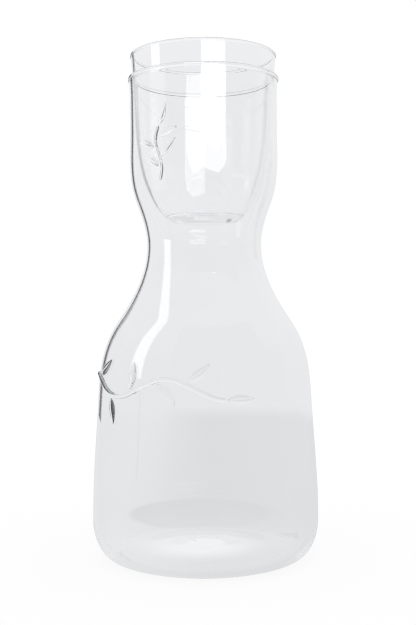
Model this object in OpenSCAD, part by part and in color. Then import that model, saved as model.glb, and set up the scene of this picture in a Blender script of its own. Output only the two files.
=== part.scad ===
// Bedside carafe in clear blown glass with a drinking cup that rests in its mouth.
// The front of the carafe carries a leafy twig on its head and a leafy vine on its body,
// drawn in hot glass trails that are fused to the wall. Lengths are in millimetres.
// The origin is the middle of the foot, +Z is up and the decorated side faces -Y.

/* [Carafe] */
// Widest diameter, at the top of the rounded heel
body_d = 110; // [96:1:130]
// Height of the carafe from the table to the top of its lip
carafe_h = 232.3; // [224:0.1:250]
// Height at which the shoulder begins to fall in
shoulder_h = 75.4; // [62:0.2:88]
// How far the wall has drawn in by there, on the radius
shoulder_in = 2.9; // [1.5:0.1:8]
// How far below the cup's foot the waist lies
waist_drop = 10.4; // [8:0.1:16]
// Diameter of the waist
waist_d = 55.6; // [44:0.2:60]
// Height above the waist at which the head becomes upright
head_swell = 56; // [46:0.5:62]
// Inner diameter of the mouth
mouth_d = 69.5; // [64:0.1:76]
// How much narrower than the mouth the head is, on the radius
head_draw = 0.3; // [0.1:0.05:0.6]
// Height of the flare that leads from the head to the lip
flare_h = 10; // [6:0.5:16]
// Thickness of the wall
wall = 1.4; // [1.1:0.1:1.6]
// Thickness of the fire-polished lip
lip_t = 2; // [1.7:0.1:3]

/* [Base of the carafe] */
// Height of the rounded heel
heel_h = 18; // [12:0.5:26]
// Width of the rounded heel, from the foot to the widest place
heel_w = 11; // [8:0.5:16]
// Width of the ring that the carafe stands on
foot_ring_w = 2.5; // [1.5:0.1:5]
// Thickness of the glass above the foot ring
floor_t = 1.8; // [1.4:0.1:3]
// Thickness in the middle of the base, where the glass gathers
gather_t = 3; // [2:0.1:5]
// Height of the kick-up in the middle of the base
punt_h = 5; // [2:0.5:12]
// Diameter of the ground mark left by the blowing iron
pontil_d = 14.8; // [8:0.2:24]
// Depth of the ground mark
pontil_depth = 0.5; // [0.2:0.1:1]

/* [Cup] */
// Height of the cup
cup_h = 82; // [76:1:96]
// How far the cup stands up out of the place where the mouth holds it
cup_stand = 12; // [8:0.2:24]
// Gap on the radius between the cup and the mouth
seat_gap = 0.3; // [0.15:0.05:0.5]
// How far the cup widens from its seat to its rim, on the radius
cup_flare = 0.75; // [0.2:0.05:1.5]
// Height at which the cup's wall begins to curve in
cup_belly_h = 46.5; // [38:0.5:52]
// How much narrower the cup is there than at its seat, on the radius
cup_belly_in = 1.1; // [0.8:0.1:4]
// Height of the lower bend
cup_low_h = 9; // [6:0.5:12]
// Diameter at the lower bend
cup_low_d = 47; // [40:0.5:50]
// Diameter at which the bowl's slope would meet the ground, were its heel not rounded
cup_heel_d = 35.8; // [33:0.2:38]
// Diameter of the cup's flat foot
cup_foot_d = 21.5; // [18:0.5:30]
// Thickness of the cup's wall
cup_wall = 1; // [0.8:0.1:1.6]
// Thickness of the cup's foot
cup_floor_t = 3.8; // [3:0.1:5]
// Height of the rounding inside the cup, where the bowl meets the floor
cup_round_h = 1.3; // [0.6:0.1:2]
// Thickness of the cup's fire-polished rim
cup_lip_t = 1.4; // [1.2:0.1:2]

/* [Twig on the head] */
// Height of the twig's lower end above the waist
twig_lift = 28.5; // [24:0.5:34]
// Height that the twig climbs
twig_rise = 25; // [18:1:28]
// Sideways sway of the twig
twig_sway = 1.6; // [0:0.1:4]
// Width of the twig's trail
twig_w = 1.8; // [1.2:0.1:2.6]
// How far the twig stands out of the wall
twig_proud = 1.1; // [0.6:0.1:1.6]
// Length of a leaf on the twig
twig_leaf_l = 10.5; // [7:0.5:13]
// Width of a leaf on the twig
twig_leaf_w = 3.6; // [2.4:0.1:4.6]

/* [Vine on the body] */
// Height of the vine's middle line above the shoulder's beginning
vine_lift = 9.5; // [0:0.5:14]
// Length of the vine round the body
vine_l = 84; // [50:1:90]
// Height of the vine's waves
vine_wave = 4.5; // [2:0.5:8]
// Width of the vine's trail
vine_w = 2.4; // [1.6:0.1:3.2]
// How far the vine stands out of the wall
vine_proud = 1.5; // [0.8:0.1:2]
// Length of a leaf on the vine
vine_leaf_l = 12.5; // [8:0.5:15]
// Width of a leaf on the vine
vine_leaf_w = 4.4; // [3:0.1:6]

/* [Trails] */
// Depth to which every trail is fused into the wall
fuse_depth = 0.35; // [0.2:0.05:0.6]
// Clear space between a leaf and its stem
leaf_gap = 0.5; // [0.3:0.1:1.5]

/* [Hidden] */
$fn = 120;

// Where the steepest place lies between two upright ones, up and across, as shares
fall_up_share = 0.522;
fall_across_share = 0.568;
rise_up_share = 0.368;
rise_across_share = 0.617;
// Slope there, as a share of the mean slope
fall_slope_share = 2.12;
rise_slope_share = 2.65;
// Slope where the shoulder begins, as a share of the body's mean slope
shoulder_slope_share = 1.18;
// Slope where the cup begins to curve in, as a share of the mean slope above
cup_slope_share = 1.5;

// Points along one stretch of an outline, and round one bead
stretch_steps = 9;
bead_steps = 14;
// Rings along a stem and along a leaf, and sides over the rounded top of a trail
stem_rings = 34;
leaf_rings = 16;
trail_sides = 8;
// Where a bead leaves its wall, as an angle below level
bead_start_angle = -62;

// Main radii and heights worked out from the sizes above
body_r = body_d / 2;
foot_r = body_r - heel_w;
foot_in_r = foot_r - foot_ring_w;
heel_in_r = foot_r - foot_ring_w / 2;
shoulder_r = body_r - shoulder_in;
waist_r = waist_d / 2;
mouth_r = mouth_d / 2;
head_r = mouth_r + wall - head_draw;
lip_r = lip_t / 2;
lip_z = carafe_h - lip_r;
flare_z = lip_z - flare_h;
cup_seat_h = cup_h - cup_stand;
cup_z = lip_z - cup_seat_h;
waist_h = cup_z - waist_drop;
head_h = waist_h + head_swell;
twig_z = waist_h + twig_lift;
vine_z = shoulder_h + vine_lift;
cup_seat_r = mouth_r - seat_gap;
cup_belly_r = cup_seat_r - cup_belly_in;
cup_lip_r = cup_lip_t / 2;
cup_lip_h = cup_h - cup_lip_r;

// The front of the carafe, as an angle about Z
front_angle = -90;

// Height-driven curve: each station is a height, a radius and a slope, and the wall
// runs through them on smooth cubics
function cubic(t, h, a, b, slope_a, slope_b) =
    (2 * t * t * t - 3 * t * t + 1) * a
    + (t * t * t - 2 * t * t + t) * h * slope_a
    + (3 * t * t - 2 * t * t * t) * b
    + (t * t * t - t * t) * h * slope_b;
function between(a, b, z) =
    cubic((z - a[0]) / (b[0] - a[0]), b[0] - a[0], a[1], b[1], a[2], b[2]);
function radius_at(stations, z, i = 0) =
    i + 2 >= len(stations) || z <= stations[i + 1][0]
    ? between(stations[i], stations[i + 1], z)
    : radius_at(stations, z, i + 1);
// Slopes are measured over a short step, a small share of the carafe's height
slope_step_share = 0.001;
slope_step = slope_step_share * carafe_h;
function slope_at(stations, z) =
    (radius_at(stations, z + slope_step) - radius_at(stations, z - slope_step))
    / (2 * slope_step);
function heights(stations) = concat(
    [for (i = [0 : len(stations) - 2])
        for (k = [0 : stretch_steps - 1])
            stations[i][0] + (stations[i + 1][0] - stations[i][0]) * k / stretch_steps],
    [stations[len(stations) - 1][0]]
);
function outside(stations) = [for (z = heights(stations)) [radius_at(stations, z), z]];
// The inner face lies square to the outer one, a wall's thickness in
function inward(stations, z, t) =
    let (s = slope_at(stations, z), n = sqrt(1 + s * s))
    [radius_at(stations, z) - t / n, z + t * s / n];
function inside(stations, t) = [for (z = heights(stations)) inward(stations, z, t)];
function reversed(list) = [for (i = [len(list) - 1 : -1 : 0]) list[i]];
function bead(centre_r, centre_z, r) = [
    for (i = [0 : bead_steps])
        let (a = bead_start_angle + (180 - bead_start_angle) * i / bead_steps)
        [centre_r + r * cos(a), centre_z + r * sin(a)]
];
// Curve from a to c that leaves and arrives along the lines to b
function bend(a, b, c) = [
    for (i = [0 : stretch_steps])
        let (t = i / stretch_steps)
        (1 - t) * (1 - t) * a + 2 * t * (1 - t) * b + t * t * c
];

// Outline of the carafe's wall from the heel to the lip
body_fall = (body_r - shoulder_r) / (shoulder_h - heel_h);
shoulder_fall = (shoulder_r - waist_r) / (waist_h - shoulder_h);
head_rise = (head_r - waist_r) / (head_h - waist_h);
flare_slope = head_draw / flare_h;
carafe_stations = [
    [heel_h, body_r, 0],
    [shoulder_h, shoulder_r, -shoulder_slope_share * body_fall],
    [
        shoulder_h + fall_up_share * (waist_h - shoulder_h),
        waist_r + fall_across_share * (shoulder_r - waist_r),
        -fall_slope_share * shoulder_fall
    ],
    [waist_h, waist_r, 0],
    [
        waist_h + rise_up_share * (head_h - waist_h),
        waist_r + rise_across_share * (head_r - waist_r),
        rise_slope_share * head_rise
    ],
    [head_h, head_r, 0],
    [flare_z, head_r, 0],
    [lip_z, mouth_r + wall, flare_slope]
];

// Height at radius r of a kick-up that is rise high, over a foot of radius foot_in_r
function punt(r, rise) = rise * (1 + cos(180 * r / foot_in_r)) / 2;
function punt_curve(rise, base) = [
    for (i = [0 : 2 * stretch_steps])
        let (r = foot_in_r * i / (2 * stretch_steps))
        [r, base + punt(r, rise)]
];
// Quarter of an ellipse from the foot, at the bottom, out to the wall
function heel_curve(foot, base, top, wide) = [
    for (i = [0 : stretch_steps])
        let (a = 90 * i / stretch_steps)
        [foot + wide * sin(a), top - (top - base) * cos(a)]
];

module carafe() {
    last = len(heights(carafe_stations)) - 1;
    wall_out = [for (i = [1 : last - 1]) outside(carafe_stations)[i]];
    wall_in = [for (i = [1 : last - 1]) inside(carafe_stations, wall)[i]];
    color([0.88, 0.9, 0.92, 0.35])
        difference() {
            rotate_extrude()
                polygon(concat(
                    punt_curve(punt_h, 0),
                    heel_curve(foot_r, 0, heel_h, heel_w),
                    wall_out,
                    bead(mouth_r + lip_r, lip_z, lip_r),
                    reversed(wall_in),
                    reversed(heel_curve(heel_in_r, floor_t, heel_h, body_r - wall - heel_in_r)),
                    reversed(punt_curve(punt_h + gather_t - floor_t, floor_t))
                ));
            pontil_cut();
        }
}

// Shallow lens ground into the underside of the kick-up
module pontil_cut() {
    edge_r = pontil_d / 2;
    edge_z = punt(edge_r, punt_h);
    crown_z = punt_h + pontil_depth;
    rise = crown_z - edge_z;
    ball_r = (edge_r * edge_r + rise * rise) / (2 * rise);
    translate([0, 0, crown_z - ball_r])
        sphere(r = ball_r);
}

// Outline of the cup's wall from the lower bend to the rim
cup_low_r = cup_low_d / 2;
cup_heel_r = cup_heel_d / 2;
cup_foot_r = cup_foot_d / 2;
cup_low_slope = (cup_low_r - cup_heel_r) / cup_low_h;
cup_flare_slope = cup_flare / (cup_lip_h - cup_seat_h);
cup_belly_slope = cup_slope_share * cup_belly_in / (cup_seat_h - cup_belly_h);
cup_stations = [
    [cup_low_h, cup_low_r, cup_low_slope],
    [cup_belly_h, cup_belly_r, cup_belly_slope],
    [cup_seat_h, cup_seat_r, cup_flare_slope],
    [cup_lip_h, cup_seat_r + cup_flare, cup_flare_slope]
];

// Outer face of the cup's heel at share t of the way up from the foot to the lower bend,
// its direction there, and the inner face that lies square to it
function cup_heel(t) =
    (1 - t) * (1 - t) * [cup_foot_r, 0] + 2 * t * (1 - t) * [cup_heel_r, 0]
    + t * t * [cup_low_r, cup_low_h];
function cup_heel_way(t) =
    unit((1 - t) * [cup_heel_r - cup_foot_r, 0] + t * [cup_low_r - cup_heel_r, cup_low_h]);
function cup_heel_in(t) =
    let (way = cup_heel_way(t))
    cup_heel(t) + cup_wall * [-way[1], way[0]];

module cup() {
    last = len(heights(cup_stations)) - 1;
    wall_out = [for (i = [1 : last - 1]) outside(cup_stations)[i]];
    wall_in = [for (i = [1 : last - 1]) inside(cup_stations, cup_wall)[i]];
    turn_share = sqrt((cup_floor_t + cup_round_h - cup_wall / 2) / cup_low_h);
    turn = cup_heel_in(turn_share);
    way = cup_heel_way(turn_share);
    reach = (turn[1] - cup_floor_t) / way[1];
    corner = turn - reach * way;
    color([0.88, 0.9, 0.92, 0.35])
        translate([0, 0, cup_z])
            rotate_extrude()
                polygon(concat(
                    [[0, 0]],
                    [for (i = [0 : stretch_steps]) cup_heel(i / stretch_steps)],
                    wall_out,
                    bead(cup_seat_r + cup_flare - cup_wall + cup_lip_r, cup_lip_h, cup_lip_r),
                    reversed(wall_in),
                    [for (i = [stretch_steps : -1 : 1])
                        cup_heel_in(turn_share + (1 - turn_share) * i / stretch_steps)],
                    bend(turn, corner, corner - [reach, 0]),
                    [[0, cup_floor_t]]
                ));
}

// A place on the carafe's wall, from a distance round the front and a height
function on_wall(p, ref_r) =
    let (r = radius_at(carafe_stations, p[1]), a = front_angle + 180 / PI * p[0] / ref_r)
    [r * cos(a), r * sin(a), p[1]];
// The way straight out of the wall there
function out_of_wall(p, ref_r) =
    let (s = slope_at(carafe_stations, p[1]), a = front_angle + 180 / PI * p[0] / ref_r)
    [cos(a), sin(a), -s] / sqrt(1 + s * s);
function unit(v) = v / norm(v);

// A trail of glass along a path on the wall: flat where it is fused, round on top.
// sizes gives the width and the height at each point of the path.
module trail(path, sizes, ref_r) {
    last = len(path) - 1;
    at = [for (p = path) on_wall(p, ref_r)];
    up = [for (p = path) out_of_wall(p, ref_r)];
    along = [for (i = [0 : last]) unit(at[min(i + 1, last)] - at[max(i - 1, 0)])];
    across = [for (i = [0 : last]) unit(cross(along[i], up[i]))];
    points = [
        for (i = [0 : last])
            for (k = [0 : trail_sides + 2])
                let (
                    a = 180 * k / trail_sides,
                    top = k <= trail_sides,
                    x = top ? cos(a) : (k == trail_sides + 1 ? -1 : 1),
                    w = x * sizes[i][0] / 2,
                    h = top ? sizes[i][1] * sin(a) : -fuse_depth
                )
                at[i] + w * across[i] + h * up[i]
    ];
    n = trail_sides + 3;
    faces = concat(
        [for (i = [0 : last - 1])
            for (k = [0 : n - 1])
                let (a = i * n + k, b = i * n + (k + 1) % n)
                [a, b, b + n, a + n]],
        [[for (k = [n - 1 : -1 : 0]) k]],
        [[for (k = [0 : n - 1]) last * n + k]]
    );
    color([0.84, 0.87, 0.88, 0.5])
        polyhedron(points = points, faces = faces, convexity = 6);
}

// Least width and height at a trail's ends, as a share of the full size
end_share = 0.16;
// Eased places along a trail, closer together at its ends
function eased(i, count) = (1 - cos(180 * i / count)) / 2;
// Share of the full size at place t on a stem with round ends that are w long
function stem_share(t, l, w) =
    let (d = min(t, 1 - t) * l / w)
    d >= 1 ? 1 : max(end_share, sqrt(1 - (1 - d) * (1 - d)));
// Share of the full size at place t on a leaf, widest before its middle
leaf_belly_share = 0.8;
function leaf_share(t) = max(end_share, pow(max(0, sin(180 * pow(t, leaf_belly_share))), 0.8));

// The twig climbs with a light sway
function twig_point(t) = [twig_sway * sin(360 * t), twig_z + twig_rise * t];
function twig_angle(t) = atan2(twig_rise, 2 * PI * twig_sway * cos(360 * t));
// The vine runs round the body in long waves and begins on a crest
vine_waves = 1.5;
function vine_point(t) =
    [vine_l * (t - 0.5), vine_z + vine_wave * cos(360 * vine_waves * t)];
function vine_angle(t) =
    atan2(-2 * PI * vine_waves * vine_wave * sin(360 * vine_waves * t), vine_l);

// Side is 1 for a leaf on the left of its stem, -1 on the right and 0 beyond the tip.
// A side leaf spreads from the stem's direction and curls a little further away.
leaf_spread = 46;
leaf_curl = 14;
function leaf_path(start, angle, side, l) = [
    for (i = [0 : leaf_rings])
        let (t = eased(i, leaf_rings), a = angle + side * (leaf_spread + leaf_curl * t))
        start + l * t * [cos(a), sin(a)]
];
function leaf_sizes(w, h) = [
    for (i = [0 : leaf_rings])
        let (s = leaf_share(eased(i, leaf_rings)))
        [w * s, h * s]
];
// Where a leaf starts: clear of the edge of a stem that is w wide, or of its tip
function leaf_start(p, angle, side, w, leaf_w) =
    side == 0
    ? p + leaf_gap * [cos(angle), sin(angle)]
    : p + side * ((w + end_share * leaf_w) / 2 + leaf_gap) * [-sin(angle), cos(angle)];

module twig_stem() {
    steps = [for (i = [0 : stem_rings]) eased(i, stem_rings)];
    trail(
        [for (t = steps) twig_point(t)],
        [for (t = steps) stem_share(t, twig_rise, twig_w) * [twig_w, twig_proud]],
        head_r
    );
}

// Places up the twig as shares, and the side of each leaf
twig_leaf_shares = [0.26, 0.42, 0.64, 0.8, 1];
twig_leaf_sides = [1, -1, 1, -1, 0];
module twig_leaf(i) {
    t = twig_leaf_shares[i];
    side = twig_leaf_sides[i];
    start = leaf_start(twig_point(t), twig_angle(t), side, twig_w, twig_leaf_w);
    trail(
        leaf_path(start, twig_angle(t), side, twig_leaf_l),
        leaf_sizes(twig_leaf_w, twig_proud),
        head_r
    );
}

module twig_leaf_1() {
    twig_leaf(0);
}

module twig_leaf_2() {
    twig_leaf(1);
}

module twig_leaf_3() {
    twig_leaf(2);
}

module twig_leaf_4() {
    twig_leaf(3);
}

module twig_leaf_5() {
    twig_leaf(4);
}

module vine_stem() {
    steps = [for (i = [0 : stem_rings]) eased(i, stem_rings)];
    trail(
        [for (t = steps) vine_point(t)],
        [for (t = steps) stem_share(t, vine_l, vine_w) * [vine_w, vine_proud]],
        shoulder_r
    );
}

// Places along the vine as shares, and the side of each leaf
vine_leaf_shares = [0.1, 0.27, 0.44, 0.61, 0.78, 1];
vine_leaf_sides = [1, -1, 1, -1, 1, 0];
module vine_leaf(i) {
    t = vine_leaf_shares[i];
    side = vine_leaf_sides[i];
    start = leaf_start(vine_point(t), vine_angle(t), side, vine_w, vine_leaf_w);
    trail(
        leaf_path(start, vine_angle(t), side, vine_leaf_l),
        leaf_sizes(vine_leaf_w, vine_proud),
        shoulder_r
    );
}

module vine_leaf_1() {
    vine_leaf(0);
}

module vine_leaf_2() {
    vine_leaf(1);
}

module vine_leaf_3() {
    vine_leaf(2);
}

module vine_leaf_4() {
    vine_leaf(3);
}

module vine_leaf_5() {
    vine_leaf(4);
}

module vine_leaf_6() {
    vine_leaf(5);
}

carafe();
cup();
twig_stem();
twig_leaf_1();
twig_leaf_2();
twig_leaf_3();
twig_leaf_4();
twig_leaf_5();
vine_stem();
vine_leaf_1();
vine_leaf_2();
vine_leaf_3();
vine_leaf_4();
vine_leaf_5();
vine_leaf_6();
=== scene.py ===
# %% [markdown]
# Bedside carafe in clear blown glass, with a drinking cup that rests in its mouth.
# The real set is two hand-made glass bodies and a few thin glass trails that are laid
# on the front while hot. This lesson loads the measured solids as a frame, sets up the
# studio, draws both glass walls as outlines that are spun round the axis, and then
# lays the trails on the wall.

# %% Load the frame
import math

import bpy
from mathutils import Euler, Matrix, Vector, noise


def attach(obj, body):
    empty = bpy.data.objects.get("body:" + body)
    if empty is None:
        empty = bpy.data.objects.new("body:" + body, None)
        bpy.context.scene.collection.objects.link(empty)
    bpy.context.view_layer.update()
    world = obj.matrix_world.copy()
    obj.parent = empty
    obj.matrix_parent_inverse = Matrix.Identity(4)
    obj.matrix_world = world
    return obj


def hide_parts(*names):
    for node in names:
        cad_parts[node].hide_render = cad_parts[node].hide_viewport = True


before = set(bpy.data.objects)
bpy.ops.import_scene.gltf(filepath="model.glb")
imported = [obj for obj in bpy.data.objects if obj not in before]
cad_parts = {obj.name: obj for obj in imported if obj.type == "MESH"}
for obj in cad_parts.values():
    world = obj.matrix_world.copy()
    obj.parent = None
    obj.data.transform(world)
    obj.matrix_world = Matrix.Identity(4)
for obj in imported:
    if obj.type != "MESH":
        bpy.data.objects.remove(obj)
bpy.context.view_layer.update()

MM = 0.001
scene = bpy.context.scene

# %% [markdown]
# The camera. The photograph was taken from nearby, level with the middle of the carafe
# and from 35 degrees to the right of the decorated front. So the base is seen from
# above, both rims are seen from below, and the cup's foot is seen edge-on. A distant
# camera could not show all three at once.

# %% Camera
TURN = math.radians(35)
DISTANCE = 0.476
EYE_HEIGHT = 0.1252
TILT_DOWN = math.radians(0.86)
LENS = 55.9
ASIDE = 1.7 * MM
LEAN = math.radians(-0.33)

to_camera = Vector((math.sin(TURN), -math.cos(TURN), 0))
to_right = Vector((math.cos(TURN), math.sin(TURN), 0))
stand = DISTANCE * to_camera + ASIDE * to_right + Vector((0, 0, EYE_HEIGHT))
bpy.ops.object.camera_add(location=stand)
camera = bpy.context.active_object
aim = Euler((math.pi / 2 - TILT_DOWN, 0, TURN), "XYZ").to_matrix()
camera.rotation_euler = (aim @ Matrix.Rotation(LEAN, 3, "Z")).to_euler()
camera.data.lens = LENS
camera.data.sensor_width = 36
camera.data.clip_start = 0.01
camera.data.clip_end = 50
scene.camera = camera
print("camera at", [round(v, 3) for v in camera.location])

# %% [markdown]
# The studio. Clear glass has no colour of its own: it shows what is behind it and what
# it mirrors. The background is white for the camera, and the glass sees the same
# background a little darker, as it does in the photograph, where the glass stands out
# as a pale cool grey. Light Path tells a ray from the camera from a ray that comes
# out of the glass. The lamps don't change for it.

# %% View settings and light paths
scene.view_settings.view_transform = "Standard"
scene.cycles.max_bounces = 256
scene.cycles.transmission_bounces = 256
scene.cycles.glossy_bounces = 256
scene.cycles.transparent_max_bounces = 32
scene.cycles.caustics_reflective = False
scene.cycles.caustics_refractive = False
scene.cycles.filter_width = 1.15

# tones as the glass sees them, and how far the backdrop reaches round to the sides
BACKDROP_LOW = (0.815, 0.82, 0.835, 1)
BACKDROP_HIGH = (0.865, 0.87, 0.885, 1)
ROOM = (0.70, 0.705, 0.72, 1)
CEILING = (0.93, 0.935, 0.95, 1)
BACKDROP_TURN = (-0.1, 0.4)
TABLE_LEFT = (0.795, 0.80, 0.815, 1)
TABLE_MIDDLE = (0.72, 0.725, 0.74, 1)
TABLE_RIGHT = (0.735, 0.74, 0.755, 1)
# tone of the painted shadow on the table behind the object
SHADE = (0.70, 0.705, 0.72, 1)
# tone of the painted pool of light on the table under the base
PAINTED_POOL = (0.92, 0.925, 0.94, 1)


class Nodes:
    """Adds and joins the nodes of one material or world."""

    def __init__(self, tree):
        self.tree = tree
        tree.nodes.clear()

    def add(self, kind, **settings):
        node = self.tree.nodes.new("ShaderNode" + kind)
        for name, value in settings.items():
            setattr(node, name, value)
        return node

    def join(self, source, target):
        self.tree.links.new(source, target)

    def math(self, operation, first, second=0.0):
        node = self.add("Math", operation=operation)
        for socket, value in zip(node.inputs, (first, second)):
            if isinstance(value, (int, float)):
                socket.default_value = value
            else:
                self.join(value, socket)
        return node.outputs[0]


def new_material(name):
    """A material with an empty node tree, and its helper."""
    material = bpy.data.materials.new(name)
    material.use_nodes = True
    return material, Nodes(material.node_tree)


# %% World
world = bpy.data.worlds.new("studio")
scene.world = world
world.use_nodes = True
n = Nodes(world.node_tree)
path = n.add("LightPath")
in_glass = n.math("MAXIMUM", path.outputs["Is Glossy Ray"], path.outputs["Is Transmission Ray"])
heading = n.add("TexCoord")
upward = n.add("SeparateXYZ")
n.join(heading.outputs["Generated"], upward.inputs[0])


def by_height(stops):
    """A tone for each height in the sky, where 1 is straight up."""
    ramp = n.add("ValToRGB")
    n.join(upward.outputs["Z"], ramp.inputs["Fac"])
    ramp.color_ramp.elements[0].position, ramp.color_ramp.elements[0].color = stops[0]
    ramp.color_ramp.elements[1].position, ramp.color_ramp.elements[1].color = stops[-1]
    for position, colour in stops[1:-1]:
        ramp.color_ramp.elements.new(position).color = colour
    return ramp.outputs["Color"]


behind = n.add("VectorMath", operation="DOT_PRODUCT")
n.join(heading.outputs["Generated"], behind.inputs[0])
behind.inputs[1].default_value = -to_camera
turned = n.add("MapRange", interpolation_type="SMOOTHSTEP")
n.join(behind.outputs["Value"], turned.inputs["Value"])
turned.inputs["From Min"].default_value = BACKDROP_TURN[0]
turned.inputs["From Max"].default_value = BACKDROP_TURN[1]
room_tones = [(0, ROOM), (0.3, ROOM), (0.6, CEILING)]
backdrop_tones = [(0, BACKDROP_LOW), (0.25, BACKDROP_HIGH), (0.3, BACKDROP_HIGH), (0.42, CEILING)]
studio = n.add("MixRGB")
n.join(turned.outputs["Result"], studio.inputs["Fac"])
n.join(by_height(room_tones), studio.inputs["Color1"])
n.join(by_height(backdrop_tones), studio.inputs["Color2"])
tone = n.add("MixRGB")
n.join(in_glass, tone.inputs["Fac"])
tone.inputs["Color1"].default_value = (1, 1, 1, 1)
n.join(studio.outputs[0], tone.inputs["Color2"])
background = n.add("Background")
n.join(tone.outputs[0], background.inputs["Color"])
output = n.add("OutputWorld")
n.join(background.outputs[0], output.inputs["Surface"])
print("world:", world.name)

# %% [markdown]
# The floor is a plain white table top. Part of its white is its own light for the
# camera, so that it fills the picture evenly, and the rest is lit by the studio, so
# that the object's faint shadow stays on it. Seen in the glass, the table is a little
# darker than the backdrop, more so towards the right, and fades into it at its back.
# Where the thick base would gather light, a pool of light is painted on the table under it, and a pale
# shadow is painted behind it.

# %% Floor
FLOOR_R = 9.0
FLOOR_SINK = 0.2 * MM
OWN_LIGHT = 0.93
TABLE_HALF = 0.12
TABLE_BACK = (0.52, 0.66)
PATCH_ASIDE = 0.004
# a painted shadow on the table behind the object, as the glass sees it
SHADE_BEHIND = 0.085
SHADE_R = 0.039
SHADE_SOFT = 0.006
# a painted pool of light on the table under the base, as the glass sees it
PAINTED_POOL_BEHIND = 0.012
PAINTED_POOL_R = 0.010
PAINTED_POOL_SOFT = 0.030
PAINTED_POOL_SHARE = 0.9

bpy.ops.object.select_all(action="DESELECT")
bpy.ops.mesh.primitive_circle_add(
    vertices=96, radius=FLOOR_R, fill_type="NGON", location=(0, 0, -FLOOR_SINK)
)
floor = bpy.context.active_object
floor.name = "floor"

white_top, n = new_material("white_table_top")
path = n.add("LightPath")
in_glass = n.math("MAXIMUM", path.outputs["Is Glossy Ray"], path.outputs["Is Transmission Ray"])
place = n.add("TexCoord")
across = n.add("VectorMath", operation="DOT_PRODUCT")
n.join(place.outputs["Object"], across.inputs[0])
across.inputs[1].default_value = to_right
rightward = n.add("MapRange")
n.join(across.outputs["Value"], rightward.inputs["Value"])
rightward.inputs["From Min"].default_value = -TABLE_HALF
rightward.inputs["From Max"].default_value = TABLE_HALF
table = n.add("ValToRGB")
n.join(rightward.outputs["Result"], table.inputs["Fac"])
table.color_ramp.interpolation = "EASE"
table.color_ramp.elements[0].position = 0.2
table.color_ramp.elements[0].color = TABLE_LEFT
table.color_ramp.elements[1].position = 0.8
table.color_ramp.elements[1].color = TABLE_RIGHT
table.color_ramp.elements.new(0.55).color = TABLE_MIDDLE
away = n.add("VectorMath", operation="DOT_PRODUCT")
n.join(place.outputs["Object"], away.inputs[0])
away.inputs[1].default_value = -to_camera
beyond = n.add("MapRange", interpolation_type="SMOOTHSTEP")
n.join(away.outputs["Value"], beyond.inputs["Value"])
beyond.inputs["From Min"].default_value = TABLE_BACK[0]
beyond.inputs["From Max"].default_value = TABLE_BACK[1]


def disc(below, middle, radius, soft, tone, share):
    """The table's tone, with a soft round patch of another tone round a point on it."""
    reach = n.add("VectorMath", operation="DISTANCE")
    n.join(place.outputs["Object"], reach.inputs[0])
    reach.inputs[1].default_value = middle
    within = n.add("MapRange", interpolation_type="SMOOTHSTEP")
    n.join(reach.outputs["Value"], within.inputs["Value"])
    within.inputs["From Min"].default_value = radius
    within.inputs["From Max"].default_value = radius + soft
    within.inputs["To Min"].default_value = share
    within.inputs["To Max"].default_value = 0
    patch = n.add("MixRGB")
    n.join(within.outputs["Result"], patch.inputs["Fac"])
    n.join(below, patch.inputs["Color1"])
    patch.inputs["Color2"].default_value = tone
    return patch.outputs[0]


# painted shadow behind the object
shade_middle = -SHADE_BEHIND * to_camera - PATCH_ASIDE * to_right
shaded = disc(table.outputs["Color"], shade_middle, SHADE_R, SHADE_SOFT, SHADE, 1)
# painted pool of light under the base
painted_pool_middle = -PAINTED_POOL_BEHIND * to_camera - PATCH_ASIDE * to_right
painted_pool = disc(shaded, painted_pool_middle, PAINTED_POOL_R, PAINTED_POOL_SOFT, PAINTED_POOL, PAINTED_POOL_SHARE)
seen = n.add("MixRGB")
n.join(beyond.outputs["Result"], seen.inputs["Fac"])
n.join(painted_pool, seen.inputs["Color1"])
seen.inputs["Color2"].default_value = BACKDROP_LOW
glow = n.add("Emission")
n.join(seen.outputs[0], glow.inputs["Color"])
own = n.add("Emission")
own.inputs["Strength"].default_value = OWN_LIGHT
own_camera = n.add("MixShader")
dark = n.add("Emission")
dark.inputs["Strength"].default_value = 0
n.join(path.outputs["Is Camera Ray"], own_camera.inputs["Fac"])
n.join(dark.outputs[0], own_camera.inputs[1])
n.join(own.outputs[0], own_camera.inputs[2])
matt = n.add("BsdfDiffuse")
matt.inputs["Color"].default_value = (1 - OWN_LIGHT, 1 - OWN_LIGHT, 1 - OWN_LIGHT, 1)
lit = n.add("AddShader")
n.join(own_camera.outputs[0], lit.inputs[0])
n.join(matt.outputs[0], lit.inputs[1])
both = n.add("MixShader")
n.join(in_glass, both.inputs["Fac"])
n.join(lit.outputs[0], both.inputs[1])
n.join(glow.outputs[0], both.inputs[2])
output = n.add("OutputMaterial")
n.join(both.outputs[0], output.inputs["Surface"])
floor.data.materials.append(white_top)
print("floor radius", FLOOR_R)

# %% [markdown]
# Cards. A glass photographer shapes the reflections with white and black cards just
# outside the picture: white ones draw the bright bands, a black one draws the thin dark
# line along an edge. Here each card is an upright sheet bent round the object, which
# only rays that have been mirrored in the glass can see, but for the one that darkens
# the trails. A card close to the wall shows in the stretch of wall that it faces and
# nowhere else. How many surfaces the light has crossed tells a reflection in the front
# wall from one in the back wall or in the cup.


# %% Card helper
CARD_STEPS = 36
ANY = 999


def edge_height(edge, turn):
    """Height of a card's edge at a turn: one number, or pairs of turn and height."""
    if isinstance(edge, float):
        return edge
    for (a, low), (b, high) in zip(edge, edge[1:]):
        if turn <= b:
            return low + (high - low) * (turn - a) / (b - a)
    return edge[-1][1]


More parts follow.
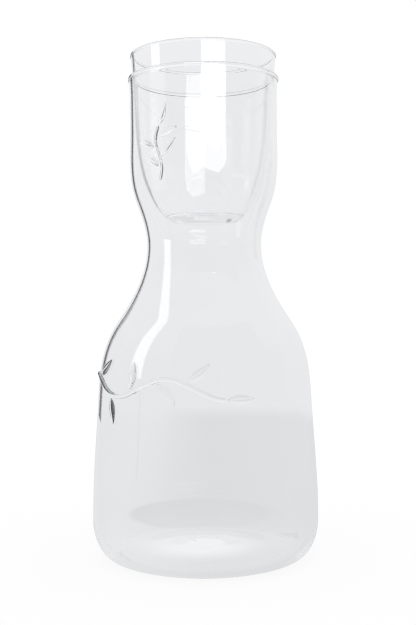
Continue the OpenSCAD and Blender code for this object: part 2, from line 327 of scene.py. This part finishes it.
def card(name, turns, radius, low, high, colour, strength, crossed=(0, ANY), mirrored=(1, ANY)):
    """A card round the axis, between two turns in degrees to the right of the camera."""
    bpy.ops.object.select_all(action="DESELECT")
    first, last = turns
    bpy.ops.mesh.primitive_grid_add(x_subdivisions=CARD_STEPS, y_subdivisions=1, size=1, location=(0, 0, 0))
    sheet = bpy.context.active_object
    sheet.name = name
    for vertex in sheet.data.vertices:
        turn = first + (last - first) * (vertex.co.x + 0.5)
        a = math.radians(turn)
        z = edge_height(high if vertex.co.y > 0 else low, turn)
        vertex.co = radius * (math.cos(a) * to_camera + math.sin(a) * to_right) + Vector((0, 0, z))
    material, n = new_material(name)
    path = n.add("LightPath")
    shown = 1.0
    for depth, (least, most) in (("Transmission Depth", crossed), ("Glossy Depth", mirrored)):
        enough = n.math("GREATER_THAN", path.outputs[depth], least - 0.5)
        few = n.math("LESS_THAN", path.outputs[depth], most + 0.5)
        shown = n.math("MULTIPLY", n.math("MULTIPLY", enough, few), shown)
    shine = n.add("Emission")
    shine.inputs["Color"].default_value = colour
    shine.inputs["Strength"].default_value = strength
    clear = n.add("BsdfTransparent")
    mix = n.add("MixShader")
    n.join(shown, mix.inputs["Fac"])
    n.join(clear.outputs[0], mix.inputs[1])
    n.join(shine.outputs[0], mix.inputs[2])
    output = n.add("OutputMaterial")
    n.join(mix.outputs[0], output.inputs["Surface"])
    sheet.data.materials.append(material)
    sheet.visible_camera = False
    sheet.visible_diffuse = False
    sheet.visible_shadow = False
    return sheet


# %% Cards
WHITE = (1, 1, 1, 1)
BLACK = (0.03, 0.028, 0.042, 1)
STUDIO_R = 0.5
BLACK_R = 0.42
BRIGHT = 3.0
FRONT_WALL = (0, 2)
softbox_low = [(-3, 0.176), (3.3, 0.144), (21.2, 0.114), (31, 0.164), (34, 0.215)]
softbox_high = [(-3, 0.44), (11, 0.485), (22, 0.497), (31, 0.428), (34, 0.37)]
strip_low = [(-86, 0.139), (-69, 0.148)]

# a softbox in front, with a pointed lower edge: the wide bright bands on the head and cup
card("softbox_right", (-3, 34), STUDIO_R, softbox_low, softbox_high, WHITE, BRIGHT)
# a tall strip light at the left: the bright streak down the neck and the shoulder
card("strip_left", (-86, -70), STUDIO_R, strip_low, 0.78, WHITE, BRIGHT, crossed=FRONT_WALL)
# a low white screen at the right, and the strip's thin stand at the left
card("screen_right", (44, 76), STUDIO_R, 0.0, 0.12, WHITE, 1.3, crossed=FRONT_WALL)
card("stand_left", (-69.8, -68.6), STUDIO_R, 0.0, 0.1385, BLACK, 1, crossed=FRONT_WALL)
# two grey flags near the glass: one hides the softbox from the body, one the strip from the head
card("flag_below", (-25, 55), 0.078, 0.03, 0.173, ROOM, 1)
card("flag_head", (-66, -44), 0.06, 0.165, 0.2345, ROOM, 1.5)
# black cards behind at the left: the carafe's dark edge, the cup's, and the dark of the trails
card("black_card_left", (-150, -138), BLACK_R, 0.028, 0.36, BLACK, 1, crossed=FRONT_WALL, mirrored=(1, 1))
card("black_card_cup", (-163, -138), BLACK_R, 0.12, 0.36, BLACK, 1, crossed=(6, 7), mirrored=(1, 1))
card(
    "black_card_trails", (-158, -140), BLACK_R + 0.005, 0.11, 0.36, BLACK, 1,
    crossed=(8, ANY), mirrored=(0, ANY),
)
print("cards:", 9)

# %% [markdown]
# Clear glass. A glass shader bends and mirrors light at each surface, and a thin
# absorption inside gives the faint cool grey that only shows along thick edges. Blown
# glass is never quite even: a very low bump lets its reflections drift a little, and
# tiny bumps stand in for the few small bubbles. Light that enters the crest of a lip is
# caught in the wall and runs down it, so the crest looks darker; that shade is painted
# here, as a dark base colour along the crest. Lamps shine through it: shadow rays pass
# by a Transparent shader, because real glass throws hardly any shadow.


# %% Glass helper
IOR = 1.47
DRIFT_STRETCH = (1, 1, 0.4)
DRIFT_SCALE = 38
DRIFT_DETAIL = 1.5
SEED_SCALE = 42
SEED_REACH = 0.02
SEED_DEEP = 0.15
# colour of the painted shade along the lips' crests
CREST_PAINTED_SHADE = (0.32, 0.31, 0.36, 1)
LAMP_TINT = (0.97, 0.97, 0.97, 1)


def clear_glass(name, absorb, density, unevenness, crest=None):
    """Glass with a faint tint inside, uneven by so many millimetres, and painted shade on its crest."""
    material, n = new_material(name)
    place = n.add("TexCoord")
    stretch = n.add("Mapping")
    stretch.inputs["Scale"].default_value = DRIFT_STRETCH
    n.join(place.outputs["Object"], stretch.inputs["Vector"])
    drift = n.add("TexNoise")
    drift.inputs["Scale"].default_value = DRIFT_SCALE
    drift.inputs["Detail"].default_value = DRIFT_DETAIL
    n.join(stretch.outputs["Vector"], drift.inputs["Vector"])
    waves = n.add("Bump")
    waves.inputs["Strength"].default_value = 1
    waves.inputs["Distance"].default_value = unevenness * MM
    n.join(drift.outputs["Fac"], waves.inputs["Height"])
    bubbles = n.add("TexVoronoi")
    bubbles.inputs["Scale"].default_value = SEED_SCALE
    n.join(place.outputs["Object"], bubbles.inputs["Vector"])
    seed = n.add("MapRange", interpolation_type="SMOOTHSTEP")
    n.join(bubbles.outputs["Distance"], seed.inputs["Value"])
    seed.inputs["From Max"].default_value = SEED_REACH
    seed.inputs["To Min"].default_value = 1
    seed.inputs["To Max"].default_value = 0
    seeds = n.add("Bump")
    seeds.inputs["Strength"].default_value = 1
    seeds.inputs["Distance"].default_value = SEED_DEEP * MM
    n.join(seed.outputs["Result"], seeds.inputs["Height"])
    n.join(waves.outputs["Normal"], seeds.inputs["Normal"])
    glass = n.add("BsdfPrincipled")
    n.join(seeds.outputs["Normal"], glass.inputs["Normal"])
    glass.inputs["Base Color"].default_value = (1, 1, 1, 1)
    # painted shade: a dark base colour along the lip's crest, between two heights
    if crest:
        height = n.add("SeparateXYZ")
        n.join(place.outputs["Object"], height.inputs[0])
        top = n.add("MapRange", interpolation_type="SMOOTHSTEP")
        n.join(height.outputs["Z"], top.inputs["Value"])
        top.inputs["From Min"].default_value = crest[0] * MM
        top.inputs["From Max"].default_value = crest[1] * MM
        edge = n.add("MixRGB")
        n.join(top.outputs["Result"], edge.inputs["Fac"])
        edge.inputs["Color1"].default_value = (1, 1, 1, 1)
        edge.inputs["Color2"].default_value = CREST_PAINTED_SHADE
        n.join(edge.outputs[0], glass.inputs["Base Color"])
    glass.inputs["Roughness"].default_value = 0
    glass.inputs["IOR"].default_value = IOR
    glass.inputs["Transmission Weight"].default_value = 1
    path = n.add("LightPath")
    clear = n.add("BsdfTransparent")
    clear.inputs["Color"].default_value = LAMP_TINT
    mix = n.add("MixShader")
    n.join(path.outputs["Is Shadow Ray"], mix.inputs["Fac"])
    n.join(glass.outputs[0], mix.inputs[1])
    n.join(clear.outputs[0], mix.inputs[2])
    inside = n.add("VolumeAbsorption")
    inside.inputs["Color"].default_value = absorb
    inside.inputs["Density"].default_value = density
    output = n.add("OutputMaterial")
    n.join(mix.outputs[0], output.inputs["Surface"])
    n.join(inside.outputs[0], output.inputs["Volume"])
    return material


# %% Glass
CLEAR = (0.85, 0.865, 0.865, 1)
TRAIL_CLEAR = (0.81, 0.84, 0.825, 1)
# the two heights are where the painted shade on each lip starts and ends
carafe_finish = clear_glass("clear_carafe_glass", CLEAR, 8, 0.02, crest=(231.9, 232.2))
cup_finish = clear_glass("clear_cup_glass", CLEAR, 4, 0.02, crest=(242.9, 243.2))
trail_finish = clear_glass("clear_trail_glass", TRAIL_CLEAR, 24, 0.04)
print("glass:", carafe_finish.name, cup_finish.name, trail_finish.name)

# %% [markdown]
# The wall's shape. Both bodies are blown and turned, so each is half an outline spun
# round the axis. The outline passes through a few stations, each with a height, a
# radius and a slope, and a Bezier curve through them is as smooth as a turned form.
# The curve could be drawn by eye, but from stations it matches the frame exactly.

# %% Stations of the carafe, in millimetres
BODY_R = 55.0
HEEL_H = 18.0
FOOT_R = 44.0
FOOT_IN_R = 41.5
HEEL_IN_R = 42.75
FLOOR_T = 1.8
GATHER_T = 3.0
PUNT_H = 5.0
PONTIL_R = 7.4
PONTIL_DEPTH = 0.5
WALL = 1.4
SHOULDER_H = 75.4
SHOULDER_R = 52.1
WAIST_H = 150.9
WAIST_R = 27.8
HEAD_SWELL = 56.0
HEAD_R = 35.85
MOUTH_R = 34.75
LIP_R = 1.0
LIP_Z = 231.3
FLARE_H = 10.0
BODY_SLOPE = 1.18
SHOULDER_MIDDLE = (0.522, 0.568, 2.12)
HEAD_MIDDLE = (0.368, 0.617, 2.65)
FLARE_SLOPE = 0.03

body_fall = (BODY_R - SHOULDER_R) / (SHOULDER_H - HEEL_H)
shoulder_fall = (SHOULDER_R - WAIST_R) / (WAIST_H - SHOULDER_H)
head_rise = (HEAD_R - WAIST_R) / HEAD_SWELL

# height, radius, slope
carafe_stations = [
    (HEEL_H, BODY_R, 0.0),
    (SHOULDER_H, SHOULDER_R, -BODY_SLOPE * body_fall),
    (
        SHOULDER_H + SHOULDER_MIDDLE[0] * (WAIST_H - SHOULDER_H),
        WAIST_R + SHOULDER_MIDDLE[1] * (SHOULDER_R - WAIST_R),
        -SHOULDER_MIDDLE[2] * shoulder_fall,
    ),
    (WAIST_H, WAIST_R, 0.0),
    (
        WAIST_H + HEAD_MIDDLE[0] * HEAD_SWELL,
        WAIST_R + HEAD_MIDDLE[1] * (HEAD_R - WAIST_R),
        HEAD_MIDDLE[2] * head_rise,
    ),
    (WAIST_H + HEAD_SWELL, HEAD_R, 0.0),
    (LIP_Z - FLARE_H, HEAD_R, 0.0),
    (LIP_Z, MOUTH_R + WALL, FLARE_SLOPE),
]


def station_between(stations, z):
    """Radius and slope of the wall at height z."""
    for (z0, r0, s0), (z1, r1, s1) in zip(stations, stations[1:]):
        if z <= z1 or (z1, r1, s1) == stations[-1]:
            h = z1 - z0
            t = (z - z0) / h
            r = (
                (2 * t**3 - 3 * t**2 + 1) * r0
                + (t**3 - 2 * t**2 + t) * h * s0
                + (3 * t**2 - 2 * t**3) * r1
                + (t**3 - t**2) * h * s1
            )
            s = (
                (6 * t**2 - 6 * t) * r0 / h
                + (3 * t**2 - 4 * t + 1) * s0
                + (6 * t - 6 * t**2) * r1 / h
                + (3 * t**2 - 2 * t) * s1
            )
            return r, s


def inward(stations, z, thickness):
    """The station of the inner wall that faces the outer wall's point at height z."""
    r, s = station_between(stations, z)
    square = math.sqrt(1 + s * s)
    return z + thickness * s / square, r - thickness / square, s


def halved(stations):
    """The stations with one more in the middle of each stretch."""
    result = []
    for a, b in zip(stations, stations[1:]):
        middle = (a[0] + b[0]) / 2
        result += [a, (middle, *station_between(stations, middle))]
    return result + [stations[-1]]


print("waist radius", station_between(carafe_stations, WAIST_H)[0])

# %% [markdown]
# Drawing an outline. Each knot of the Bezier curve has its place and two handles. On
# the wall the handles lie along the slope, a third of the way to the next station. On
# a bead or a rounded heel they have the length that makes a round arc. A wall that was
# blown by hand is never quite true, so after spinning it drifts in and out by some
# hundredths of a millimetre, but not near the foot and the lips.


# %% Outline helper
class Outline:
    """Collects the knots of half an outline, as radius and height in millimetres."""

    def __init__(self, r, z):
        self.knots = [[(r, z), (r, z), (r, z)]]

    def to(self, leave, arrive, end):
        """Curve on to end, with the handle that leaves here and the one that arrives there."""
        self.knots[-1][2] = leave
        self.knots.append([arrive, end, end])
        return self

    def line(self, r, z):
        """A straight line on to a point."""
        r0, z0 = self.knots[-1][1]
        leave = (r0 + (r - r0) / 3, z0 + (z - z0) / 3)
        arrive = (r - (r - r0) / 3, z - (z - z0) / 3)
        return self.to(leave, arrive, (r, z))

    def wall(self, stations):
        """Follow stations upwards or downwards, from the one the curve is at."""
        for (z0, r0, s0), (z1, r1, s1) in zip(stations, stations[1:]):
            third = (z1 - z0) / 3
            self.to((r0 + s0 * third, z0 + third), (r1 - s1 * third, z1 - third), (r1, z1))
        return self

    def arc(self, r, z, size, start, stop, parts=1, tall=None):
        """Part of a circle or an upright ellipse about (r, z), between two angles."""
        tall = size if tall is None else tall
        step = math.radians(stop - start) / parts
        k = 4 / 3 * math.tan(step / 4)
        for i in range(parts):
            a = math.radians(start) + i * step
            b = a + step
            ca, sa, cb, sb = math.cos(a), math.sin(a), math.cos(b), math.sin(b)
            self.to(
                (r + size * (ca - k * sa), z + tall * (sa + k * ca)),
                (r + size * (cb + k * sb), z + tall * (sb - k * cb)),
                (r + size * cb, z + tall * sb),
            )
        return self


def bend(outline, corner, end):
    """Curve on to end, leaving and arriving along the lines to a corner."""
    r0, z0 = outline.knots[-1][1]
    cr, cz = corner
    r1, z1 = end
    return outline.to(
        (r0 + (cr - r0) * 2 / 3, z0 + (cz - z0) * 2 / 3),
        (r1 + (cr - r1) * 2 / 3, z1 + (cz - z1) * 2 / 3),
        end,
    )


# %% Spin helper
MERGE = 0.002
CREASE = 34
UNEVEN = 0.11
WAVE_SCALE = 45.0
CALM = (22.0, 224.0)
CALM_EASE = 12.0


def finish_smooth(piece, angle):
    """Faces outwards, and smooth but for creases sharper than angle."""
    bpy.ops.object.mode_set(mode="EDIT")
    bpy.ops.mesh.select_all(action="SELECT")
    bpy.ops.mesh.normals_make_consistent(inside=False)
    bpy.ops.object.mode_set(mode="OBJECT")
    bpy.ops.object.shade_smooth_by_angle(angle=math.radians(angle))
    print(piece.name, len(piece.data.polygons), "faces")


def let_drift(piece):
    """Move a blown wall in and out a little, but for its foot and its lip."""
    for vertex in piece.data.vertices:
        across = Vector((vertex.co.x, vertex.co.y, 0))
        below, above = vertex.co.z - CALM[0] * MM, CALM[1] * MM - vertex.co.z
        ease = min(max(min(below, above) / (CALM_EASE * MM), 0.0), 1.0)
        place = Vector((vertex.co.x, vertex.co.y, 0.5 * vertex.co.z)) * WAVE_SCALE
        vertex.co += across.normalized() * (noise.noise(place) * UNEVEN * MM * ease)


def spun(name, outline, steps, fineness):
    """A solid of revolution: the outline as a curve, made a mesh and spun once round."""
    bpy.ops.object.select_all(action="DESELECT")
    bpy.ops.curve.primitive_bezier_curve_add(location=(0, 0, 0))
    drawn = bpy.context.active_object
    drawn.name = name
    drawn.data.splines.clear()
    drawn.data.resolution_u = fineness
    spline = drawn.data.splines.new("BEZIER")
    spline.bezier_points.add(len(outline.knots) - 1)
    for point, (before, place, after) in zip(spline.bezier_points, outline.knots):
        point.handle_left_type = point.handle_right_type = "FREE"
        point.co = (place[0] * MM, 0, place[1] * MM)
        point.handle_left = (before[0] * MM, 0, before[1] * MM)
        point.handle_right = (after[0] * MM, 0, after[1] * MM)
    bpy.ops.object.convert(target="MESH")
    piece = bpy.context.active_object
    bpy.ops.object.mode_set(mode="EDIT")
    bpy.ops.mesh.select_all(action="SELECT")
    bpy.ops.mesh.spin(steps=steps, angle=2 * math.pi, center=(0, 0, 0), axis=(0, 0, 1))
    bpy.ops.mesh.select_all(action="SELECT")
    bpy.ops.mesh.remove_doubles(threshold=MERGE * MM)
    bpy.ops.object.mode_set(mode="OBJECT")
    let_drift(piece)
    finish_smooth(piece, CREASE)
    return piece


# %% [markdown]
# The carafe's wall. The outline starts in the middle of the ground mark under the base,
# runs down the kick-up to the flat foot ring, round the heel, up the wall and over the
# fire-polished lip, and comes back inside. The base is thicker than the wall, as the
# glass gathers there.

# %% Carafe outline
def punt(r):
    """Height of the kick-up at radius r, and its slope."""
    return (
        PUNT_H * (1 + math.cos(math.pi * r / FOOT_IN_R)) / 2,
        -PUNT_H * math.pi / FOOT_IN_R * math.sin(math.pi * r / FOOT_IN_R) / 2,
    )


BEAD_START = -62
LIP_JOIN = 1.6
LIP_HANDLE = 0.3

edge_z, edge_slope = punt(PONTIL_R)
crown_z = PUNT_H + PONTIL_DEPTH
carafe_line = Outline(0, crown_z)
ground_slope = -2 * (crown_z - edge_z) / PONTIL_R
carafe_line.to(
    (PONTIL_R / 3, crown_z), (PONTIL_R * 2 / 3, edge_z - ground_slope * PONTIL_R / 3), (PONTIL_R, edge_z)
)
third = (FOOT_IN_R - PONTIL_R) / 3
carafe_line.to((PONTIL_R + third, edge_z + edge_slope * third), (FOOT_IN_R - third, 0), (FOOT_IN_R, 0))
carafe_line.line(FOOT_R, 0)
carafe_line.arc(FOOT_R, HEEL_H, BODY_R - FOOT_R, -90, 0, 3, tall=HEEL_H)
lip_join_z = LIP_Z - LIP_JOIN
top = (lip_join_z, *station_between(carafe_stations, lip_join_z))
outer = halved(carafe_stations[:-1] + [top])
carafe_line.wall(outer)
bead = math.radians(BEAD_START)
bead_r = MOUTH_R + LIP_R
bead_edge = (bead_r + LIP_R * math.cos(bead), LIP_Z + LIP_R * math.sin(bead))
lean = (-math.sin(bead), math.cos(bead))
carafe_line.to(
    (top[1] + top[2] * LIP_HANDLE, top[0] + LIP_HANDLE),
    (bead_edge[0] - LIP_HANDLE * lean[0], bead_edge[1] - LIP_HANDLE * lean[1]),
    bead_edge,
)
carafe_line.arc(bead_r, LIP_Z, LIP_R, BEAD_START, 180, 4)
inner = [inward(carafe_stations, z, WALL) for z, r, s in reversed(outer)]
carafe_line.line(inner[0][1], inner[0][0])
carafe_line.wall(inner)
inner_heel = BODY_R - WALL - HEEL_IN_R
carafe_line.arc(HEEL_IN_R, HEEL_H, inner_heel, 0, -90, 3, tall=HEEL_H - FLOOR_T)
carafe_line.line(FOOT_IN_R, FLOOR_T)
inner_top = PUNT_H + GATHER_T
carafe_line.to((FOOT_IN_R * 2 / 3, FLOOR_T), (FOOT_IN_R / 3, inner_top), (0, inner_top))
print("carafe outline:", len(carafe_line.knots), "knots")

# %% Carafe
carafe_glass = spun("carafe_glass", carafe_line, 216, 8)

# %% [markdown]
# The cup is made the same way: a flat foot, a bowl that rises steeply, and a wall that
# widens a little towards the rim, so that it wedges in the carafe's mouth and can be
# lifted straight out. Its foot is thick, which keeps it steady on a table.

# %% Cup outline
CUP_Z = 161.3
CUP_FOOT_R = 10.75
CUP_HEEL_R = 17.9
CUP_WALL = 1.0
CUP_FLOOR_T = 3.8
CUP_ROUND_H = 1.3
CUP_LIP_R = 0.7
CUP_LIP_JOIN = 1.2
CUP_LIP_HANDLE = 0.2

# height above the cup's foot, radius, slope
cup_stations = [
    (9.0, 23.5, (23.5 - CUP_HEEL_R) / 9.0),
    (46.5, 33.35, 1.5 * 1.1 / 23.5),
    (70.0, 34.45, 0.75 / 11.3),
    (81.3, 35.2, 0.75 / 11.3),
]
low_z, low_r, low_slope = cup_stations[0]
foot, corner, low = Vector((CUP_FOOT_R, 0)), Vector((CUP_HEEL_R, 0)), Vector((low_r, low_z))


def heel_way(t):
    """Direction of the heel's outer face, at share t of its way up."""
    return ((1 - t) * (corner - foot) + t * (low - corner)).normalized()


def heel_in(t):
    """The point of the heel's inner face that lies square to the outer one."""
    way = heel_way(t)
    place = (1 - t) ** 2 * foot + 2 * t * (1 - t) * corner + t * t * low
    return place + CUP_WALL * Vector((-way.y, way.x))


cup_line = Outline(0, 0)
cup_line.line(CUP_FOOT_R, 0)
bend(cup_line, tuple(corner), tuple(low))
rim_join_z = cup_stations[-1][0] - CUP_LIP_JOIN
top = (rim_join_z, *station_between(cup_stations, rim_join_z))
outer = halved(cup_stations[:-1] + [top])
cup_line.wall(outer)
rim_z = cup_stations[-1][0]
rim_r = cup_stations[-1][1] - CUP_WALL + CUP_LIP_R
bead_edge = (rim_r + CUP_LIP_R * math.cos(bead), rim_z + CUP_LIP_R * math.sin(bead))
cup_line.to(
    (top[1] + top[2] * CUP_LIP_HANDLE, top[0] + CUP_LIP_HANDLE),
    (bead_edge[0] - CUP_LIP_HANDLE * lean[0], bead_edge[1] - CUP_LIP_HANDLE * lean[1]),
    bead_edge,
)
cup_line.arc(rim_r, rim_z, CUP_LIP_R, BEAD_START, 180, 4)
inner = [inward(cup_stations, z, CUP_WALL) for z, r, s in reversed(outer)]
cup_line.line(inner[0][1], inner[0][0])
cup_line.wall(inner)
turn_t = math.sqrt((CUP_FLOOR_T + CUP_ROUND_H - CUP_WALL / 2) / low_z)
turn, way, low_in, low_way = heel_in(turn_t), heel_way(turn_t), heel_in(1), heel_way(1)
gap = low_in - turn
ahead = (gap.x * low_way.y - gap.y * low_way.x) / (way.x * low_way.y - way.y * low_way.x)
bend(cup_line, tuple(turn + ahead * way), tuple(turn))
reach = (turn.y - CUP_FLOOR_T) / way.y
floor_corner = turn - reach * way
bend(cup_line, tuple(floor_corner), (floor_corner.x - reach, CUP_FLOOR_T))
cup_line.line(0, CUP_FLOOR_T)
for knot in cup_line.knots:
    knot[:] = [(r, z + CUP_Z) for r, z in knot]
print("cup outline:", len(cup_line.knots), "knots")

# %% Cup
cup_glass = spun("cup_glass", cup_line, 192, 10)

# %% [markdown]
# The trails. Each is a gather of hot glass that is drawn out on the bench, laid on the
# wall and pressed on, so that it is round on top and fused flat underneath. A sphere
# stands in for the gather: it is pulled to length, thinned or swelled along its way,
# pressed flat underneath, and then laid along a path on the wall. Modelling it straight
# and laying it afterwards keeps the section true wherever the path bends.


# %% Path on the wall
FRONT = math.radians(-90)
FUSE_DEPTH = 0.35


def on_wall(across, z, ref_r):
    """A place on the wall, from a distance round the front and a height, and the way out."""
    r, s = station_between(carafe_stations, z)
    a = FRONT + across / ref_r
    out = Vector((math.cos(a), math.sin(a), -s)).normalized()
    return Vector((r * math.cos(a), r * math.sin(a), z)), out


def lay(piece, path, ref_r):
    """Lay a straight piece along a path on the wall: x is the share of the way."""
    step = 0.001
    for vertex in piece.data.vertices:
        t = vertex.co.x
        place, out = on_wall(*path(t), ref_r)
        before = on_wall(*path(t - step), ref_r)[0]
        after = on_wall(*path(t + step), ref_r)[0]
        along = (after - before).normalized()
        side = along.cross(out).normalized()
        vertex.co = place * MM + side * vertex.co.y + out * vertex.co.z


# %% Trail helper
THINNEST = 0.02
GROOVE_W = 0.22
TRAIL_CREASE = 50


def drawn_trail(name, path, ref_r, width, proud, share, groove=0.0, rings=40):
    """A trail: a sphere drawn out straight, pressed flat below and laid along its path."""
    bpy.ops.object.select_all(action="DESELECT")
    bpy.ops.mesh.primitive_uv_sphere_add(segments=40, ring_count=rings, radius=0.5, location=(0, 0, 0))
    piece = bpy.context.active_object
    piece.name = name
    bpy.ops.object.mode_set(mode="EDIT")
    bpy.ops.mesh.select_all(action="SELECT")
    bpy.ops.transform.rotate(value=math.pi / 2, orient_axis="Y", center_override=(0, 0, 0))
    bpy.ops.transform.translate(value=(0.5, 0, 0))
    bpy.ops.object.mode_set(mode="OBJECT")
    for vertex in piece.data.vertices:
        t = min(max(vertex.co.x, 0.0), 1.0)
        full = max(math.sqrt(t * (1 - t)), THINNEST)
        y = vertex.co.y / full * share(t)
        z = vertex.co.z / full * share(t)
        dent = groove * math.exp(-((y / GROOVE_W) ** 2)) * min(1.0, 4 * t, 4 * (1 - t)) if z > 0 else 0.0
        vertex.co.y = y * width / 2 * MM
        vertex.co.z = max((z - dent) * proud, -FUSE_DEPTH) * MM
    lay(piece, path, ref_r)
    finish_smooth(piece, TRAIL_CREASE)
    return piece


# %% Stems
TWIG_Z = WAIST_H + 28.5
TWIG_RISE = 25.0
TWIG_SWAY = 1.6
TWIG_W = 1.8
TWIG_PROUD = 1.1
VINE_Z = SHOULDER_H + 9.5
VINE_L = 84.0
VINE_WAVE = 4.5
VINE_WAVES = 1.5
VINE_W = 2.4
VINE_PROUD = 1.5
END_SHARE = 0.16


def twig_point(t):
    """The twig's stem: a slight sway as it rises."""
    return TWIG_SWAY * math.sin(2 * math.pi * t), TWIG_Z + TWIG_RISE * t


def vine_point(t):
    """The vine's stem: a wave round the front."""
    return VINE_L * (t - 0.5), VINE_Z + VINE_WAVE * math.cos(2 * math.pi * VINE_WAVES * t)


def round_ends(length, width):
    """Share of the full size along a stem with rounded ends."""

    def share(t):
        d = min(t, 1 - t) * length / width
        return 1.0 if d >= 1 else math.sqrt(max(0.0, 1 - (1 - d) ** 2))

    return share


twig_stem = drawn_trail(
    "twig_stem_glass", twig_point, HEAD_R, TWIG_W, TWIG_PROUD, round_ends(TWIG_RISE, TWIG_W), rings=96
)
vine_stem = drawn_trail(
    "vine_stem_glass", vine_point, SHOULDER_R, VINE_W, VINE_PROUD, round_ends(VINE_L, VINE_W), rings=192
)

# %% [markdown]
# The leaves. Each spreads from its stem by the same angle and curls a little further
# away, on the left and the right in turn, and the last one goes on from the tip. A leaf
# is widest before its middle, runs out to a point, and has a shallow groove where the
# glassworker pressed it with a blade.

# %% Leaves
LEAF_SPREAD = math.radians(46)
LEAF_CURL = math.radians(14)
LEAF_GAP = 0.5
TWIG_LEAF_L = 10.5
TWIG_LEAF_W = 3.6
VINE_LEAF_L = 12.5
VINE_LEAF_W = 4.4
GROOVE_DEEP = 0.22
# where each leaf leaves its stem, and on which side: 1 left, -1 right, 0 on from the tip
twig_places = ((0.26, 1), (0.42, -1), (0.64, 1), (0.8, -1), (1, 0))
vine_places = ((0.1, 1), (0.27, -1), (0.44, 1), (0.61, -1), (0.78, 1), (1, 0))


def leaf_share(t):
    """Share of the full width along a leaf, widest before its middle."""
    return max(0.0, math.sin(math.pi * t**0.8)) ** 0.8


def leaf_path(stem, t, side, stem_w, length, width):
    """The path of a leaf that leaves a stem at t on one side, or goes on from its tip."""
    x0, z0 = stem(t - 0.001)
    x1, z1 = stem(t + 0.001)
    angle = math.atan2(z1 - z0, x1 - x0)
    x, z = stem(t)
    off = side * ((stem_w + END_SHARE * width) / 2 + LEAF_GAP)
    on = 0 if side else LEAF_GAP
    start_x = x - off * math.sin(angle) + on * math.cos(angle)
    start_z = z + off * math.cos(angle) + on * math.sin(angle)

    def path(u):
        a = angle + side * (LEAF_SPREAD + LEAF_CURL * u)
        return start_x + length * u * math.cos(a), start_z + length * u * math.sin(a)

    return path


def leaf_set(plant, places, stem, ref_r, stem_w, length, width, proud):
    """All leaves of one plant, each with the name of the node that it dresses."""
    made = []
    for i, (t, side) in enumerate(places):
        name = f"{plant}_leaf_{i + 1}"
        path = leaf_path(stem, t, side, stem_w, length, width)
        leaf = drawn_trail(name + "_glass", path, ref_r, width, proud, leaf_share, groove=GROOVE_DEEP)
        made.append((leaf, name))
    return made


leaves = leaf_set("twig", twig_places, twig_point, HEAD_R, TWIG_W, TWIG_LEAF_L, TWIG_LEAF_W, TWIG_PROUD)
leaves += leaf_set(
    "vine", vine_places, vine_point, SHOULDER_R, VINE_W, VINE_LEAF_L, VINE_LEAF_W, VINE_PROUD
)
print("leaves:", len(leaves))

# %% [markdown]
# Finish. Each piece gets its glass, rides on the body that it moves with, and takes the
# place of the solid that it dresses. The trails are fused on, so they ride on the carafe.

# %% Finish on the glass
for piece, body, finish in ((carafe_glass, "carafe", carafe_finish), (cup_glass, "cup", cup_finish)):
    piece.data.materials.append(finish)
    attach(piece, body)
    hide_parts(body)

for piece, node in [(twig_stem, "twig_stem"), (vine_stem, "vine_stem")] + leaves:
    piece.data.materials.append(trail_finish)
    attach(piece, "carafe")
    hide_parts(node)
